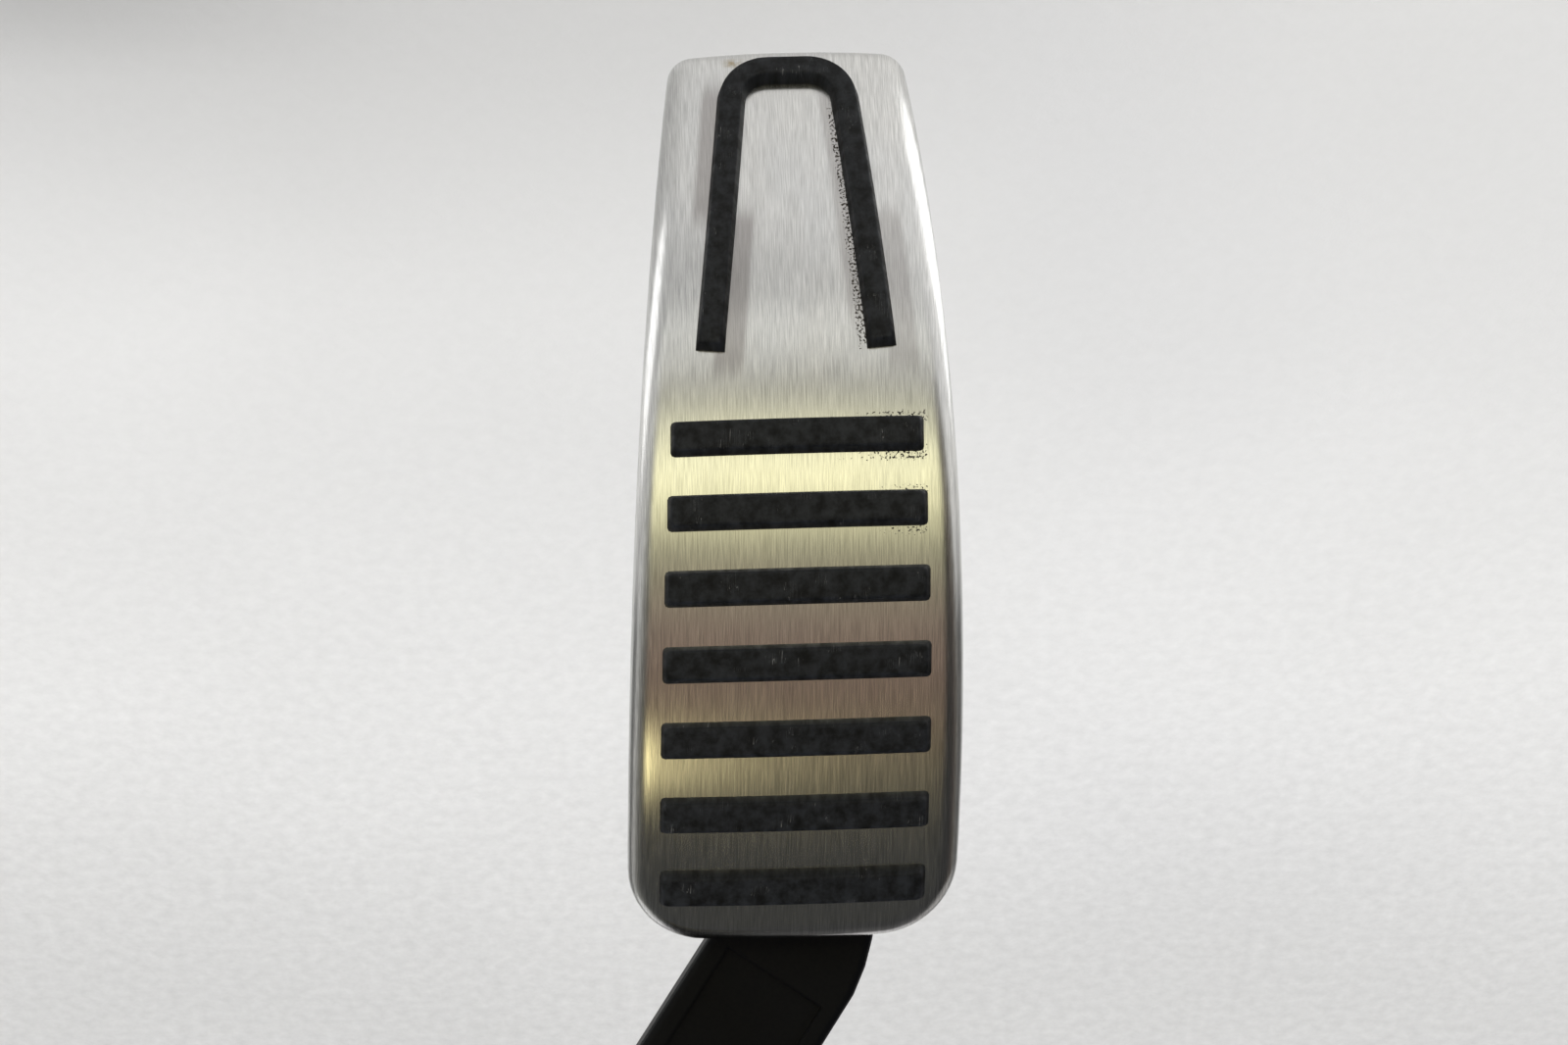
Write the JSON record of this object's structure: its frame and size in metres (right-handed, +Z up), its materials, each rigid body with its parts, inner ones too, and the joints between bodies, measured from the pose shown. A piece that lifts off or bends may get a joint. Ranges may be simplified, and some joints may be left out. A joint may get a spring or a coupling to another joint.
{
  "type": "accelerator pedal",
  "caption": "Hanging accelerator pedal: a curved steel-faced pad with rubber treads on an offset arm, swinging in a bulkhead housing with return springs and a position sensor.",
  "frame": {"origin": "centre of the housing's mounting face, where it meets the bulkhead", "axes": "+Y forward into the bulkhead, +Z up, +X to the driver's right; the pad hangs below and in front, towards -Y"},
  "size_m": [0.1102, 0.1972, 0.2952],
  "materials": {
    "steel_face": "stainless steel brushed lengthwise, rolled edges",
    "rubber": "black moulded rubber, matt with a faint sheen",
    "nylon": "black glass-filled nylon, fine texture",
    "carrier": "black moulded plastic",
    "steel": "zinc-plated steel",
    "spring": "oiled spring steel",
    "bronze": "sintered bronze",
    "acetal": "natural acetal",
    "board": "green solder mask",
    "chip": "moulded chip package",
    "magnet": "plain ferrite",
    "brass": "tinned brass"
  },
  "bodies": {
    "housing": {"housing": "nylon", "side_cover": "nylon", "cover_screw_1": "steel", "cover_screw_2": "steel", "cover_screw_3": "steel", "cover_screw_4": "steel", "mount_sleeve_1": "steel", "mount_sleeve_2": "steel", "mount_sleeve_3": "steel", "left_bush": "bronze", "right_bush": "bronze", "outer_spring": "spring", "inner_spring": "spring", "friction_sleeve": "acetal", "idle_stop": "rubber", "full_stop": "rubber", "circuit_board": "board", "sensor_chip_1": "chip", "sensor_chip_2": "chip", "sensor_seal": "rubber", "sensor_cover": "nylon", "sensor_screw_1": "steel", "sensor_screw_2": "steel", "sensor_screw_3": "steel", "sensor_screw_4": "steel", "connector_pin_1": "brass", "connector_pin_2": "brass", "connector_pin_3": "brass", "connector_pin_4": "brass", "connector_pin_5": "brass", "connector_pin_6": "brass"},
    "pedal": {"pedal_arm": "nylon", "pivot_shaft": "steel", "shaft_clip": "spring", "pad_carrier": "carrier", "pad_screw_1": "steel", "pad_screw_2": "steel", "steel_face": "steel_face", "grip_loop": "rubber", "grip_bar_1": "rubber", "grip_bar_2": "rubber", "grip_bar_3": "rubber", "grip_bar_4": "rubber", "grip_bar_5": "rubber", "grip_bar_6": "rubber", "grip_bar_7": "rubber", "sensor_rotor": "acetal", "rotor_magnet_1": "magnet", "rotor_magnet_2": "magnet"},
    "plunger": {"spring_plunger": "acetal"}
  },
  "joints": [
    {"name": "pedal_swing", "type": "hinge", "parent": "housing", "child": "pedal", "pos_m": [0, -0.04, 0], "axis": [1, 0, 0], "range_deg": [0, 16], "stiffness_Nm_per_rad": 9, "springref_deg": -12.61},
    {"name": "plunger_stroke", "type": "slide", "parent": "housing", "child": "plunger", "axis": [0, 1, 0], "range_m": [0, 0.0077], "deforming": ["outer_spring", "inner_spring"]}
  ],
  "couplings": [
    {"joint": "plunger_stroke", "follows": "pedal_swing", "m_per_rad": 0.0274}
  ]
}
